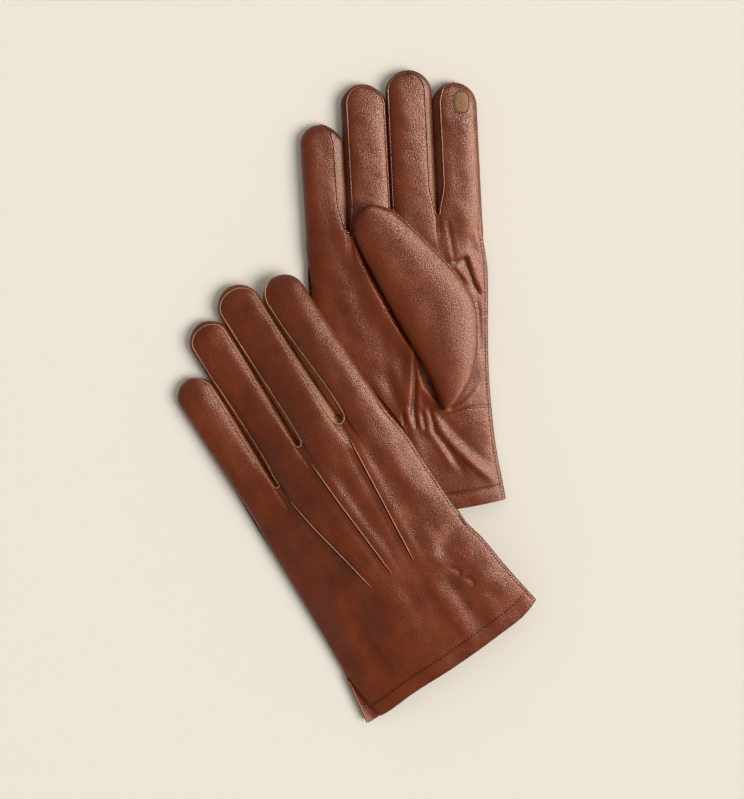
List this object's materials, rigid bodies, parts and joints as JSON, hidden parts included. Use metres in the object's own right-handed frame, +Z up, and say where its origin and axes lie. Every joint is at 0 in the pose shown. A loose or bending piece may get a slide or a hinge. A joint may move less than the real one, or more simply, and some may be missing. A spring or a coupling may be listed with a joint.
{
  "type": "fashion gloves and mittens",
  "caption": "Pair of lined brown leather dress gloves with touch pads on the index fingers, one palm up and one lying across it palm down.",
  "frame": {"origin": "centre of the footprint, on the surface the gloves lie on", "axes": "+Z up; +Y towards the fingertips of the palm-up right glove"},
  "size_m": [0.2052, 0.378, 0.034],
  "materials": {
    "leather_brown": "semi-gloss fine grain",
    "leather_side": "satin",
    "knit_lining": "matt knit",
    "seam_edge": "raw cut edge",
    "touch_pad": "fine bronze texture",
    "elastic": "matt"
  },
  "bodies": {
    "right_hand": {"right_hand_back": "leather_brown", "right_hand_palm": "leather_brown", "right_hand_lining": "knit_lining", "right_hem_facing": "leather_side", "right_wrist_elastic": "elastic", "right_fork_little_ring": "leather_side", "right_fork_ring_middle": "leather_side", "right_fork_middle_index": "leather_side", "right_point_index_middle": "seam_edge", "right_point_middle_ring": "seam_edge", "right_point_ring_little": "seam_edge"},
    "right_little_finger": {"right_little_wrap": "leather_brown", "right_little_side": "leather_side", "right_little_lining": "knit_lining"},
    "right_ring_finger": {"right_ring_back": "leather_brown", "right_ring_palm": "leather_brown", "right_ring_side_a": "leather_side", "right_ring_side_b": "leather_side", "right_ring_lining": "knit_lining"},
    "right_middle_finger": {"right_middle_back": "leather_brown", "right_middle_palm": "leather_brown", "right_middle_side_a": "leather_side", "right_middle_side_b": "leather_side", "right_middle_lining": "knit_lining"},
    "right_index_finger": {"right_index_wrap": "leather_brown", "right_index_side": "leather_side", "right_index_lining": "knit_lining", "right_touch_pad": "touch_pad"},
    "right_thumb": {"right_thumb_leather": "leather_brown", "right_thumb_lining": "knit_lining"},
    "left_hand": {"left_hand_back": "leather_brown", "left_hand_palm": "leather_brown", "left_hand_lining": "knit_lining", "left_hem_facing": "leather_side", "left_wrist_elastic": "elastic", "left_fork_little_ring": "leather_side", "left_fork_ring_middle": "leather_side", "left_fork_middle_index": "leather_side", "left_point_index_middle": "seam_edge", "left_point_middle_ring": "seam_edge", "left_point_ring_little": "seam_edge"},
    "left_little_finger": {"left_little_wrap": "leather_brown", "left_little_side": "leather_side", "left_little_lining": "knit_lining"},
    "left_ring_finger": {"left_ring_back": "leather_brown", "left_ring_palm": "leather_brown", "left_ring_side_a": "leather_side", "left_ring_side_b": "leather_side", "left_ring_lining": "knit_lining"},
    "left_middle_finger": {"left_middle_back": "leather_brown", "left_middle_palm": "leather_brown", "left_middle_side_a": "leather_side", "left_middle_side_b": "leather_side", "left_middle_lining": "knit_lining"},
    "left_index_finger": {"left_index_wrap": "leather_brown", "left_index_side": "leather_side", "left_index_lining": "knit_lining", "left_touch_pad": "touch_pad"},
    "left_thumb": {"left_thumb_leather": "leather_brown", "left_thumb_lining": "knit_lining"}
  },
  "joints": [
    {"name": "right_little_bend", "type": "hinge", "parent": "right_hand", "child": "right_little_finger", "pos_m": [-0.01648, 0.10585, 0.01175], "axis": [1, 0, 0], "range_deg": [0, 80]},
    {"name": "right_ring_bend", "type": "hinge", "parent": "right_hand", "child": "right_ring_finger", "pos_m": [0.00878, 0.11585, 0.01175], "axis": [1, 0, 0], "range_deg": [0, 80]},
    {"name": "right_middle_bend", "type": "hinge", "parent": "right_hand", "child": "right_middle_finger", "pos_m": [0.03499, 0.11685, 0.01175], "axis": [1, 0, 0], "range_deg": [0, 80]},
    {"name": "right_index_bend", "type": "hinge", "parent": "right_hand", "child": "right_index_finger", "pos_m": [0.06148, 0.11685, 0.01175], "axis": [1, 0, 0], "range_deg": [0, 80]},
    {"name": "right_thumb_open", "type": "hinge", "parent": "right_hand", "child": "right_thumb", "pos_m": [0.07326, 0.02485, 0.0112], "axis": [0, 1, 0], "range_deg": [0, 100]},
    {"name": "left_glove_lift", "type": "slide", "parent": "right_hand", "child": "left_hand", "axis": [0, 0, 1], "range_m": [0, 0.15]},
    {"name": "left_little_raise", "type": "hinge", "parent": "left_hand", "child": "left_little_finger", "pos_m": [-0.06845, -0.03647, 0.01226], "axis": [0.8434, 0.5373, 0], "range_deg": [0, 60]},
    {"name": "left_ring_raise", "type": "hinge", "parent": "left_hand", "child": "left_ring_finger", "pos_m": [-0.05499, -0.01366, 0.01934], "axis": [0.8434, 0.5373, 0], "range_deg": [0, 60]},
    {"name": "left_middle_raise", "type": "hinge", "parent": "left_hand", "child": "left_middle_finger", "pos_m": [-0.03428, 0.00072, 0.02886], "axis": [0.8434, 0.5373, 0], "range_deg": [0, 60]},
    {"name": "left_index_raise", "type": "hinge", "parent": "left_hand", "child": "left_index_finger", "pos_m": [-0.01065, 0.01458, 0.03115], "axis": [0.8434, 0.5373, 0], "range_deg": [0, 60]},
    {"name": "left_thumb_fall", "type": "hinge", "parent": "left_hand", "child": "left_thumb", "pos_m": [0.04594, -0.04777, 0.0212], "axis": [0.5373, -0.8434, 0], "range_deg": [0, 86.5]}
  ],
  "couplings": [
    {"joint": "left_thumb_fall", "follows": "left_glove_lift", "rad_per_m": 10}
  ]
}
